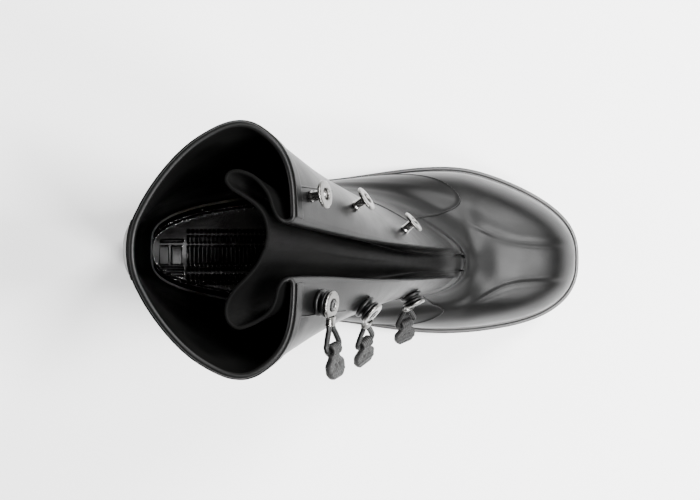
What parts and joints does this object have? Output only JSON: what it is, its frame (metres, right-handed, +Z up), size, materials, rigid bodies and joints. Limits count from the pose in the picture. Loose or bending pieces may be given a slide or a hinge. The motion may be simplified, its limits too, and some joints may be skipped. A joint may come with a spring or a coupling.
{
  "type": "rubber boot",
  "caption": "Black moulded rubber boot with a folded front gusset, metal studs on one flap and swivelling pull-tab loops on the other.",
  "frame": {"origin": "on the ground under the middle of the heel", "axes": "+X to the toe, +Y to the outer (lateral) side of this left boot, +Z up the shaft"},
  "size_m": [0.3002, 0.1169, 0.2743],
  "materials": {
    "rubber": "satin black moulded rubber, glossier inside",
    "sole_rubber": "matt black sole rubber",
    "footbed_rubber": "glossy black ribbed footbed",
    "fitting_rubber": "black rubber bushes and grooved loops",
    "tab_rubber": "matt black pebbled pull tab",
    "nickel": "satin nickel-plated studs, plates and rivets",
    "shank_steel": "plain spring steel",
    "insole_board": "brown leatherboard"
  },
  "bodies": {
    "boot": {"back_strip": "rubber", "flange_bushing_1": "fitting_rubber", "flange_bushing_2": "fitting_rubber", "flange_bushing_3": "fitting_rubber", "foot_shell": "rubber", "footbed": "footbed_rubber", "front_gusset": "rubber", "insole_board": "insole_board", "midsole_filler": "sole_rubber", "outsole": "sole_rubber", "quarter_panel_lateral": "rubber", "quarter_panel_medial": "rubber", "rand": "sole_rubber", "rivet_1": "nickel", "rivet_2": "nickel", "rivet_3": "nickel", "rivet_washer_1": "nickel", "rivet_washer_2": "nickel", "rivet_washer_3": "nickel", "shaft_shell": "rubber", "shank": "shank_steel", "stud_head_1": "nickel", "stud_head_2": "nickel", "stud_head_3": "nickel", "stud_post_1": "nickel", "stud_post_2": "nickel", "stud_post_3": "nickel", "stud_washer_1": "nickel", "stud_washer_2": "nickel", "stud_washer_3": "nickel", "top_binding": "rubber"},
    "closure_1": {"swivel_plate_1": "nickel", "loop_1": "fitting_rubber"},
    "tab_1": {"pull_tab_1": "tab_rubber"},
    "closure_2": {"swivel_plate_2": "nickel", "loop_2": "fitting_rubber"},
    "tab_2": {"pull_tab_2": "tab_rubber"},
    "closure_3": {"swivel_plate_3": "nickel", "loop_3": "fitting_rubber"},
    "tab_3": {"pull_tab_3": "tab_rubber"}
  },
  "joints": [
    {"name": "closure_1_swivel", "type": "hinge", "parent": "boot", "child": "closure_1", "pos_m": [0.08029, -0.02433, 0.25719], "axis": [0.8481, -0.1455, 0.5094], "range_deg": [-20, 140]},
    {"name": "tab_1_hinge", "type": "hinge", "parent": "closure_1", "child": "tab_1", "pos_m": [0.08135, -0.04438, 0.25346], "axis": [-0.5291, -0.1822, 0.8288], "range_deg": [-25, 95]},
    {"name": "closure_2_swivel", "type": "hinge", "parent": "boot", "child": "closure_2", "pos_m": [0.10326, -0.03128, 0.21039], "axis": [0.6811, -0.6544, 0.3285], "range_deg": [-20, 140]},
    {"name": "tab_2_hinge", "type": "hinge", "parent": "closure_2", "child": "tab_2", "pos_m": [0.10067, -0.04666, 0.19768], "axis": [-0.6789, -0.3963, 0.6181], "range_deg": [-25, 95]},
    {"name": "closure_3_swivel", "type": "hinge", "parent": "boot", "child": "closure_3", "pos_m": [0.13437, -0.03049, 0.13707], "axis": [0.3985, -0.9049, 0.1498], "range_deg": [-20, 140]},
    {"name": "tab_3_hinge", "type": "hinge", "parent": "closure_3", "child": "tab_3", "pos_m": [0.13123, -0.04243, 0.12244], "axis": [-0.8504, -0.3033, 0.4299], "range_deg": [-25, 95]}
  ]
}
